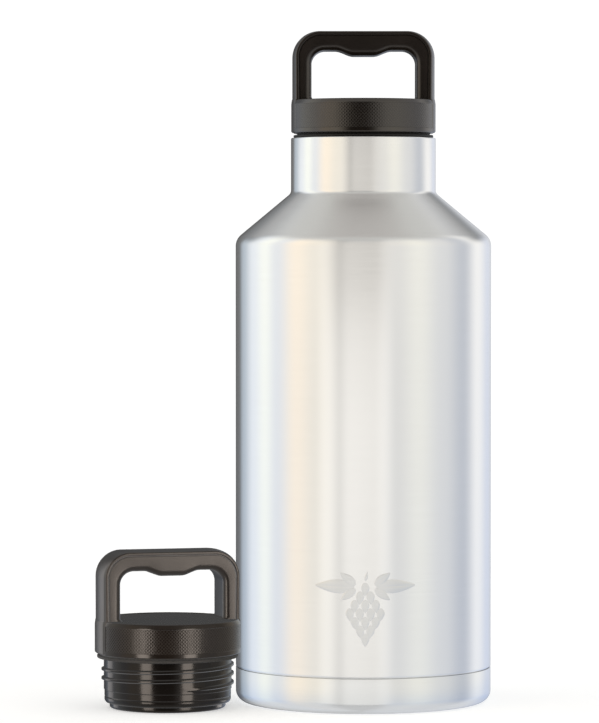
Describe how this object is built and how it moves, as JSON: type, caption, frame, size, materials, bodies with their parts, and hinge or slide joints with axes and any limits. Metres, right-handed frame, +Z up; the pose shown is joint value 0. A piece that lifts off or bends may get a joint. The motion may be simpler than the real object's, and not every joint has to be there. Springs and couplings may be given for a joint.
{
  "type": "insulated growler",
  "caption": "Double-wall steel bottle with a conical shoulder and a threaded neck, closed by a black screw lid with a carry loop; a second lid stands beside it.",
  "frame": {"origin": "centre of the bottle's foot on the plane it stands on", "axes": "+Z up along the bottle's axis; +X to the viewer's right along the carry loop; the front faces -Y"},
  "size_m": [0.1852, 0.12, 0.3149],
  "materials": {
    "outer_shell": "fine brushing round the axis, satin",
    "base_cup": "fine brushing round the axis, satin",
    "base_cover": "plain drawn sheet",
    "port_seal": "opaque solder glass",
    "inner_liner": "plain drawn sheet",
    "liner_bottom": "plain drawn sheet",
    "foil_wrap": "bright foil",
    "getter": "pressed powder",
    "getter_clip": "thin stamped sheet",
    "lid_cap": "satin moulded black",
    "lid_loop": "satin moulded black",
    "lid_plug": "satin moulded black",
    "lid_plug_base": "satin moulded black",
    "lid_foam": "closed-cell foam",
    "lid_gasket": "black silicone",
    "spare_cap": "satin moulded black",
    "spare_loop": "satin moulded black",
    "spare_plug": "satin moulded black",
    "spare_plug_base": "satin moulded black",
    "spare_foam": "closed-cell foam",
    "spare_gasket": "black silicone"
  },
  "bodies": {
    "bottle": {"outer_shell": "outer_shell", "base_cup": "base_cup", "base_cover": "base_cover", "port_seal": "port_seal", "inner_liner": "inner_liner", "liner_bottom": "liner_bottom", "foil_wrap": "foil_wrap", "getter": "getter", "getter_clip": "getter_clip"},
    "lid_seal": {"lid_gasket": "lid_gasket"},
    "lid": {"lid_cap": "lid_cap", "lid_loop": "lid_loop", "lid_plug": "lid_plug", "lid_plug_base": "lid_plug_base", "lid_foam": "lid_foam"},
    "spare_lid": {"spare_cap": "spare_cap", "spare_loop": "spare_loop", "spare_plug": "spare_plug", "spare_plug_base": "spare_plug_base", "spare_foam": "spare_foam", "spare_gasket": "spare_gasket"}
  },
  "joints": [
    {"name": "lid_rise", "type": "slide", "parent": "bottle", "child": "lid_seal", "axis": [0, 0, 1], "range_m": [0, 0.0274]},
    {"name": "lid_turn", "type": "hinge", "parent": "lid_seal", "child": "lid", "pos_m": [0, 0, 0.267], "axis": [0, 0, 1], "range_deg": [0, 2340]},
    {"name": "spare_lift", "type": "slide", "parent": "bottle", "child": "spare_lid", "axis": [0, 0, 1], "range_m": [0, 0.1]}
  ],
  "couplings": [
    {"joint": "lid_rise", "follows": "lid_turn", "m_per_rad": 0.00066845}
  ]
}
